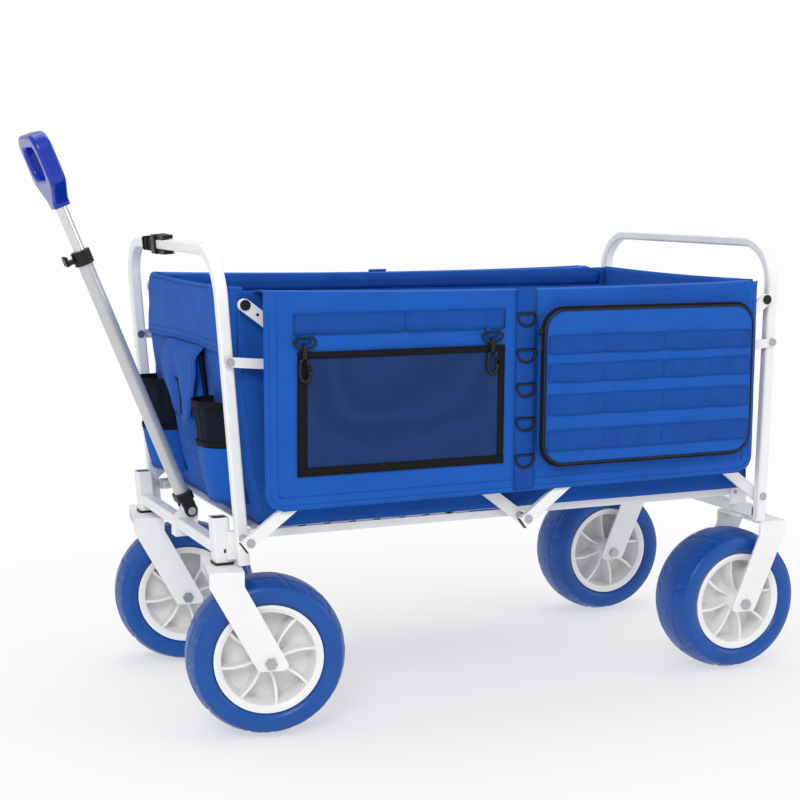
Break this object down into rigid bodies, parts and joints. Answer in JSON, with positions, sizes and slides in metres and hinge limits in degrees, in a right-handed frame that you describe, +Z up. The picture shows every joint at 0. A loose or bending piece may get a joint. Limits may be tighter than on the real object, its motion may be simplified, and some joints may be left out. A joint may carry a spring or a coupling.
{
  "type": "folding beach cart",
  "caption": "Folding beach cart with a fabric bin on a double-scissor frame, balloon tyres, two swivelling casters and a telescopic pull handle.",
  "frame": {"origin": "on the ground under the middle of the overall box", "axes": "+X runs from the pull handle to the rear, +Z is up, -Y is the left side"},
  "size_m": [1.38, 0.675, 0.9782],
  "materials": {
    "white_paint": "powder coat, semi-gloss white",
    "blue_canvas": "woven polyester canvas",
    "black_webbing": "ribbed nylon webbing",
    "navy_mesh": "fine open polyester netting",
    "blue_tyre": "smooth semi-gloss blue PVC",
    "white_plastic": "satin white moulded plastic",
    "black_plastic": "moulded black plastic",
    "zinc_steel": "zinc-plated steel",
    "silver_tube": "anodised silver",
    "steel_tie": "white coated flat bar",
    "blue_plastic": "glossy blue moulded plastic"
  },
  "bodies": {
    "front_frame": {"front_hoop": "white_paint", "front_crossbar": "white_paint", "caster_sleeves": "white_paint", "caster_bushes": "black_plastic", "caster_washers": "black_plastic", "handle_bracket": "white_paint", "front_leg_plugs": "black_plastic", "front_bolts": "zinc_steel", "buckle_strap": "black_webbing", "strap_clip": "black_plastic", "front_panel": "blue_canvas", "cup_holders": "blue_canvas", "flap_pocket": "blue_canvas", "side_panels": "blue_canvas", "bin_liner": "blue_canvas", "zip_pockets": "blue_canvas"},
    "caster_left": {"front_fork_left": "white_paint", "front_axle_left": "zinc_steel"},
    "caster_right": {"front_fork_right": "white_paint", "front_axle_right": "zinc_steel"},
    "wheel_front_left": {"rim_front_left": "white_plastic", "tyre_front_left": "blue_tyre"},
    "wheel_front_right": {"rim_front_right": "white_plastic", "tyre_front_right": "blue_tyre"},
    "wheel_rear_left": {"rim_rear_left": "white_plastic", "tyre_rear_left": "blue_tyre"},
    "wheel_rear_right": {"rim_rear_right": "white_plastic", "tyre_rear_right": "blue_tyre"},
    "link_c_pair": {"link_c": "white_paint", "caps_c": "black_plastic"},
    "link_a_pair": {"link_a": "white_paint", "caps_a": "black_plastic", "pins_a": "zinc_steel"},
    "link_b_pair": {"link_b": "white_paint", "caps_b": "black_plastic"},
    "link_d_pair": {"link_d": "white_paint", "caps_d": "black_plastic", "pins_d": "zinc_steel"},
    "rear_frame": {"rear_hoop": "white_paint", "rear_crossbar": "white_paint", "rear_forks": "white_paint", "rear_axles": "zinc_steel", "rear_bolts": "zinc_steel", "rear_panel": "blue_canvas"},
    "front_ties": {"tie_front": "steel_tie"},
    "rear_ties": {"tie_rear": "steel_tie"},
    "floor_half_front": {"floor_front": "white_paint", "slats_front": "white_paint"},
    "floor_half_rear": {"floor_rear": "white_paint", "slats_rear": "white_paint"},
    "handle_lower": {"hinge_cap": "black_plastic", "handle_outer_tube": "white_paint", "handle_collar": "black_plastic"},
    "handle_upper": {"handle_inner_tube": "silver_tube", "grip": "blue_plastic"},
    "lever": {"collar_lever": "black_plastic"},
    "ring_row": {"d_rings": "black_plastic"},
    "hook_front": {"snap_hook_front": "black_plastic"},
    "hook_rear": {"snap_hook_rear": "black_plastic"},
    "zip_pull": {"zip_pulls": "black_plastic"}
  },
  "joints": [
    {"name": "fold", "type": "hinge", "parent": "front_frame", "child": "link_c_pair", "pos_m": [-0.4075, 0, 0.331], "axis": [0, -1, 0], "range_deg": [0, 35.27], "deforming": ["side_panels", "bin_liner", "zip_pockets"]},
    {"name": "cross_front", "type": "hinge", "parent": "link_c_pair", "child": "link_a_pair", "pos_m": [-0.1575, 0, 0.52], "axis": [0, -1, 0], "range_deg": [-70.55, 0]},
    {"name": "cross_low", "type": "hinge", "parent": "link_a_pair", "child": "link_b_pair", "pos_m": [0.0925, 0, 0.331], "axis": [0, -1, 0], "range_deg": [0, 70.55]},
    {"name": "cross_rear", "type": "hinge", "parent": "link_b_pair", "child": "link_d_pair", "pos_m": [0.3425, 0, 0.52], "axis": [0, -1, 0], "range_deg": [-70.55, 0]},
    {"name": "rear_pivot", "type": "hinge", "parent": "link_d_pair", "child": "rear_frame", "pos_m": [0.5925, 0, 0.331], "axis": [0, -1, 0], "range_deg": [0, 35.28]},
    {"name": "tie_front_pivot", "type": "hinge", "parent": "front_frame", "child": "front_ties", "pos_m": [-0.43051, 0, 0.617], "axis": [0, -1, 0], "range_deg": [0, 67.02]},
    {"name": "tie_rear_pivot", "type": "hinge", "parent": "rear_frame", "child": "rear_ties", "pos_m": [0.59749, 0, 0.617], "axis": [0, -1, 0], "range_deg": [-73.22, 0]},
    {"name": "floor_front_hinge", "type": "hinge", "parent": "front_frame", "child": "floor_half_front", "pos_m": [-0.3875, 0, 0.331], "axis": [0, -1, 0], "range_deg": [0, 69.28]},
    {"name": "floor_rear_hinge", "type": "hinge", "parent": "rear_frame", "child": "floor_half_rear", "pos_m": [0.5725, 0, 0.331], "axis": [0, -1, 0], "range_deg": [-69.28, 0]},
    {"name": "swivel_left", "type": "hinge", "parent": "front_frame", "child": "caster_left", "pos_m": [-0.4305, -0.2295, 0.3], "axis": [0, 0, 1], "continuous": true},
    {"name": "swivel_right", "type": "hinge", "parent": "front_frame", "child": "caster_right", "pos_m": [-0.4305, 0.2295, 0.3], "axis": [0, 0, 1], "continuous": true},
    {"name": "spin_front_left", "type": "hinge", "parent": "caster_left", "child": "wheel_front_left", "pos_m": [-0.36185, -0.24322, 0.1315], "axis": [0.1959, 0.9806, 0], "continuous": true},
    {"name": "spin_front_right", "type": "hinge", "parent": "caster_right", "child": "wheel_front_right", "pos_m": [-0.36185, 0.21578, 0.1315], "axis": [0.1959, 0.9806, 0], "continuous": true},
    {"name": "spin_rear_left", "type": "hinge", "parent": "rear_frame", "child": "wheel_rear_left", "pos_m": [0.5585, -0.2295, 0.1315], "axis": [0, 1, 0], "continuous": true},
    {"name": "spin_rear_right", "type": "hinge", "parent": "rear_frame", "child": "wheel_rear_right", "pos_m": [0.5585, 0.2295, 0.1315], "axis": [0, 1, 0], "continuous": true},
    {"name": "handle_pitch", "type": "hinge", "parent": "front_frame", "child": "handle_lower", "pos_m": [-0.417, 0, 0.33], "axis": [0, -1, 0], "range_deg": [-14, 48]},
    {"name": "handle_slide", "type": "slide", "parent": "handle_lower", "child": "handle_upper", "axis": [-0.3762, 0, 0.9265], "range_m": [-0.05, 0.3]},
    {"name": "lever_hinge", "type": "hinge", "parent": "handle_lower", "child": "lever", "pos_m": [-0.61526, 0, 0.76378], "axis": [0, -1, 0], "range_deg": [0, 60]},
    {"name": "ring_row_shift", "type": "slide", "parent": "front_frame", "child": "ring_row", "axis": [-1, 0, 0], "range_m": [0, 0.2988]},
    {"name": "hook_front_shift", "type": "slide", "parent": "front_frame", "child": "hook_front", "axis": [-1, 0, 0], "range_m": [0, 0.0449]},
    {"name": "hook_rear_shift", "type": "slide", "parent": "front_frame", "child": "hook_rear", "axis": [-1, 0, 0], "range_m": [0, 0.2759]},
    {"name": "zip_travel", "type": "slide", "parent": "ring_row", "child": "zip_pull", "axis": [0, 0, -1], "range_m": [0, 0.19]}
  ],
  "couplings": [
    {"joint": "cross_front", "follows": "fold", "ratio": -2},
    {"joint": "cross_low", "follows": "fold", "ratio": 2},
    {"joint": "cross_rear", "follows": "fold", "ratio": -2},
    {"joint": "rear_pivot", "follows": "fold", "ratio": 1},
    {"joint": "tie_front_pivot", "follows": "fold", "ratio": 1.8999},
    {"joint": "tie_rear_pivot", "follows": "fold", "ratio": -2.0756},
    {"joint": "floor_front_hinge", "follows": "fold", "ratio": 1.9639},
    {"joint": "floor_rear_hinge", "follows": "fold", "ratio": -1.9639},
    {"joint": "ring_row_shift", "follows": "fold", "m_per_rad": 0.48464},
    {"joint": "hook_front_shift", "follows": "fold", "m_per_rad": 0.072171},
    {"joint": "hook_rear_shift", "follows": "fold", "m_per_rad": 0.44744}
  ]
}
